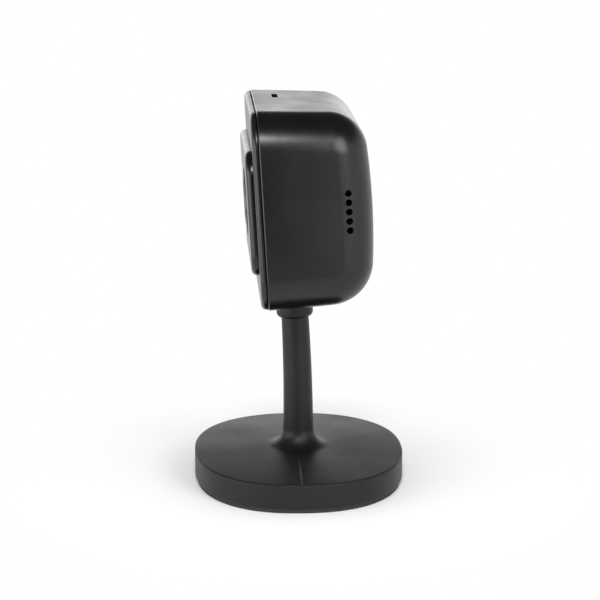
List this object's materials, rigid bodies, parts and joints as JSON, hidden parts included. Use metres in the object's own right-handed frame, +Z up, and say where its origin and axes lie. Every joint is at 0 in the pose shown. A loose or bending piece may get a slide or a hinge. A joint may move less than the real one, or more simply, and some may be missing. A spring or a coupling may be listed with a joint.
{
  "type": "security camera",
  "caption": "Small security camera: a rounded box head with a raised lens panel, on a bendable rubber-covered neck that stands on a weighted oval foot.",
  "frame": {"origin": "middle of the foot, on the table", "axes": "+Z up, +Y towards the back of the camera, so the lens looks along -Y; +X is the camera's left"},
  "size_m": [0.062, 0.054, 0.0988],
  "materials": {
    "skin_rubber": "satin moulded silicone, black",
    "pad_rubber": "soft matt foot pad",
    "weight_steel": "zinc plated plate",
    "core_steel": "plated link",
    "housing_plastic": "fine moulded satin, black",
    "front_plastic": "polished black",
    "panel_plastic": "polished smoked black",
    "ring_plastic": "polished black",
    "cover_glass": "clear",
    "lens_glass": "coated",
    "barrel_plastic": "matt black",
    "chip": "dark sensor face",
    "board": "green solder mask",
    "lamp_clear": "tinted lamp",
    "can_steel": "tinned shield",
    "screw_steel": "plated",
    "socket_steel": "tinned shell",
    "button_plastic": "matt black",
    "pipe_clear": "clear acrylic",
    "foam": "open foam",
    "speaker_frame": "matt"
  },
  "bodies": {
    "base": {"base_skin": "skin_rubber", "base_weight": "weight_steel", "base_pad": "pad_rubber", "foot_ferrule": "core_steel", "neck_sleeve": "skin_rubber"},
    "link_1": {"neck_link_1": "core_steel"},
    "link_2": {"neck_link_2": "core_steel"},
    "link_3": {"neck_link_3": "core_steel"},
    "link_4": {"neck_link_4": "core_steel"},
    "link_5": {"neck_link_5": "core_steel"},
    "link_6": {"neck_link_6": "core_steel"},
    "link_7": {"neck_link_7": "core_steel"},
    "head": {"neck_collar": "skin_rubber", "top_ferrule": "core_steel", "lock_nut": "screw_steel", "rear_housing": "housing_plastic", "front_bezel": "front_plastic", "lens_panel": "panel_plastic", "lens_ring": "ring_plastic", "lens_glass": "cover_glass", "lens_barrel": "barrel_plastic", "lens_elements": "lens_glass", "lens_holder": "barrel_plastic", "image_sensor": "chip", "main_board": "board", "board_screws": "screw_steel", "led_board": "board", "led_screws": "screw_steel", "ir_leds": "lamp_clear", "light_sensor": "lamp_clear", "processor_can": "can_steel", "wifi_module": "can_steel", "io_board": "board", "io_screws": "screw_steel", "usb_socket": "socket_steel", "reset_switch": "socket_steel", "status_pipe": "pipe_clear", "speaker_gasket": "foam", "speaker": "speaker_frame", "microphone_boot": "foam", "microphone": "socket_steel"},
    "reset_button": {"reset_button": "button_plastic"}
  },
  "joints": [
    {"name": "neck_lean_1", "type": "hinge", "parent": "base", "child": "link_1", "pos_m": [0, 0, 0.01506], "axis": [1, 0, 0], "range_deg": [-9, 10.5], "deforming": ["neck_sleeve"]},
    {"name": "neck_sway_2", "type": "hinge", "parent": "link_1", "child": "link_2", "pos_m": [0, -0.00003, 0.01879], "axis": [0, 0.9999, 0.0105], "range_deg": [-9, 9], "deforming": ["neck_sleeve"]},
    {"name": "neck_lean_3", "type": "hinge", "parent": "link_2", "child": "link_3", "pos_m": [0, -0.00008, 0.02251], "axis": [1, 0, 0], "range_deg": [-9, 10.5], "deforming": ["neck_sleeve"]},
    {"name": "neck_sway_4", "type": "hinge", "parent": "link_3", "child": "link_4", "pos_m": [0, -0.00016, 0.02624], "axis": [0, 0.9997, 0.0244], "range_deg": [-9, 9], "deforming": ["neck_sleeve"]},
    {"name": "neck_lean_5", "type": "hinge", "parent": "link_4", "child": "link_5", "pos_m": [0, -0.00026, 0.02996], "axis": [1, 0, 0], "range_deg": [-9, 10.5], "deforming": ["neck_sleeve"]},
    {"name": "neck_sway_6", "type": "hinge", "parent": "link_5", "child": "link_6", "pos_m": [0, -0.00039, 0.03368], "axis": [0, 0.9993, 0.0384], "range_deg": [-9, 9], "deforming": ["neck_sleeve"]},
    {"name": "neck_lean_7", "type": "hinge", "parent": "link_6", "child": "link_7", "pos_m": [0, -0.00055, 0.0374], "axis": [1, 0, 0], "range_deg": [-9, 10.5], "deforming": ["neck_sleeve"]},
    {"name": "neck_sway_8", "type": "hinge", "parent": "link_7", "child": "head", "pos_m": [0, -0.00073, 0.04112], "axis": [0, 0.9986, 0.0523], "range_deg": [-9, 9], "deforming": ["neck_sleeve"]},
    {"name": "reset_press", "type": "slide", "parent": "head", "child": "reset_button", "axis": [0, -0.9984, -0.0558], "range_m": [0, 0.0005], "stiffness_N_per_m": 600, "springref_m": -0.0003}
  ]
}
